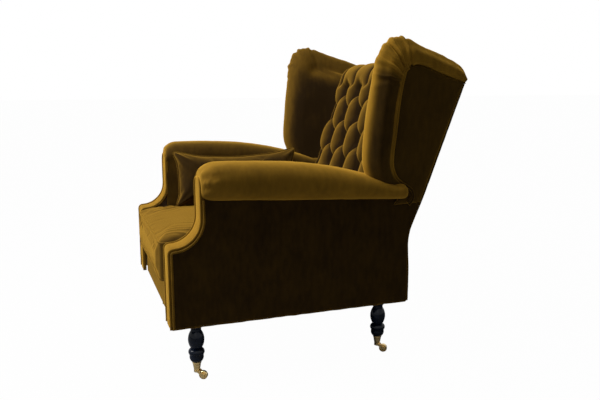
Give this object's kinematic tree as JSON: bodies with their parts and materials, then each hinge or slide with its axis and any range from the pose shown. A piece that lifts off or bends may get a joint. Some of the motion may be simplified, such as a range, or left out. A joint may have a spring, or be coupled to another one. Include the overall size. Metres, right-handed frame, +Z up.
{
  "type": "wingback armchair",
  "caption": "Upholstered armchair with a high button-tufted back, side wings, rolled arms, loose cushions and turned legs on castors.",
  "frame": {"origin": "on the floor, below the middle of the chair's bounding box", "axes": "+Z up, the chair faces -Y, +X is the sitter's left"},
  "size_m": [0.8602, 0.9758, 1.0139],
  "materials": {
    "velvet": "ochre cotton velvet",
    "frame_timber": "planed hardwood",
    "webbing": "jute webbing",
    "lining": "black cotton lining",
    "ebonised_wood": "ebonised and polished",
    "brass": "polished brass"
  },
  "bodies": {
    "chair": {"front_rail": "frame_timber", "rear_rail": "frame_timber", "side_rail_left": "frame_timber", "side_rail_right": "frame_timber", "corner_blocks": "frame_timber", "front_post_left": "frame_timber", "front_post_right": "frame_timber", "back_post_left": "frame_timber", "back_post_right": "frame_timber", "arm_rail_left": "frame_timber", "arm_rail_right": "frame_timber", "wing_board_left": "frame_timber", "wing_board_right": "frame_timber", "crest_rail": "frame_timber", "back_tie_rail": "frame_timber", "seat_webbing_long": "webbing", "seat_webbing_cross": "webbing", "back_webbing": "webbing", "seat_deck": "lining", "dust_cover": "lining", "front_border": "velvet", "arm_facing_left": "velvet", "arm_facing_right": "velvet", "outside_arm_left": "velvet", "outside_arm_right": "velvet", "outside_wing_left": "velvet", "outside_wing_right": "velvet", "outside_back": "velvet", "arm_pad_left": "velvet", "arm_pad_right": "velvet", "wing_pad_left": "velvet", "wing_pad_right": "velvet", "back_pad": "velvet", "back_buttons": "velvet", "leg_front_left": "ebonised_wood", "leg_front_right": "ebonised_wood", "leg_rear_left": "ebonised_wood", "leg_rear_right": "ebonised_wood", "castor_cup_front_left": "brass", "castor_cup_front_right": "brass", "castor_cup_rear_left": "brass", "castor_cup_rear_right": "brass"},
    "seat_cushion": {"seat_cushion": "velvet"},
    "lumbar_cushion": {"lumbar_cushion": "velvet"},
    "swivel_front_left": {"castor_horn_front_left": "brass", "castor_axle_front_left": "brass"},
    "wheel_front_left": {"castor_wheel_front_left": "brass"},
    "swivel_front_right": {"castor_horn_front_right": "brass", "castor_axle_front_right": "brass"},
    "wheel_front_right": {"castor_wheel_front_right": "brass"},
    "swivel_rear_left": {"castor_horn_rear_left": "brass", "castor_axle_rear_left": "brass"},
    "wheel_rear_left": {"castor_wheel_rear_left": "brass"},
    "swivel_rear_right": {"castor_horn_rear_right": "brass", "castor_axle_rear_right": "brass"},
    "wheel_rear_right": {"castor_wheel_rear_right": "brass"}
  },
  "joints": [
    {"name": "seat_cushion_lift", "type": "slide", "parent": "chair", "child": "seat_cushion", "axis": [0, 0, 1], "range_m": [0, 0.78]},
    {"name": "lumbar_cushion_lift", "type": "slide", "parent": "seat_cushion", "child": "lumbar_cushion", "axis": [0, 0, 1], "range_m": [0, 0.64]},
    {"name": "castor_swivel_front_left", "type": "hinge", "parent": "chair", "child": "swivel_front_left", "pos_m": [0.326, -0.38993, 0.028], "axis": [0, 0, 1], "continuous": true},
    {"name": "castor_roll_front_left", "type": "hinge", "parent": "swivel_front_left", "child": "wheel_front_left", "pos_m": [0.336, -0.37261, 0.013], "axis": [0.866, -0.5, 0], "continuous": true},
    {"name": "castor_swivel_front_right", "type": "hinge", "parent": "chair", "child": "swivel_front_right", "pos_m": [-0.326, -0.38993, 0.028], "axis": [0, 0, 1], "continuous": true},
    {"name": "castor_roll_front_right", "type": "hinge", "parent": "swivel_front_right", "child": "wheel_front_right", "pos_m": [-0.316, -0.37261, 0.013], "axis": [0.866, -0.5, 0], "continuous": true},
    {"name": "castor_swivel_rear_left", "type": "hinge", "parent": "chair", "child": "swivel_rear_left", "pos_m": [0.326, 0.21307, 0.028], "axis": [0, 0, 1], "continuous": true},
    {"name": "castor_roll_rear_left", "type": "hinge", "parent": "swivel_rear_left", "child": "wheel_rear_left", "pos_m": [0.336, 0.23039, 0.013], "axis": [0.866, -0.5, 0], "continuous": true},
    {"name": "castor_swivel_rear_right", "type": "hinge", "parent": "chair", "child": "swivel_rear_right", "pos_m": [-0.326, 0.21307, 0.028], "axis": [0, 0, 1], "continuous": true},
    {"name": "castor_roll_rear_right", "type": "hinge", "parent": "swivel_rear_right", "child": "wheel_rear_right", "pos_m": [-0.316, 0.23039, 0.013], "axis": [0.866, -0.5, 0], "continuous": true}
  ]
}
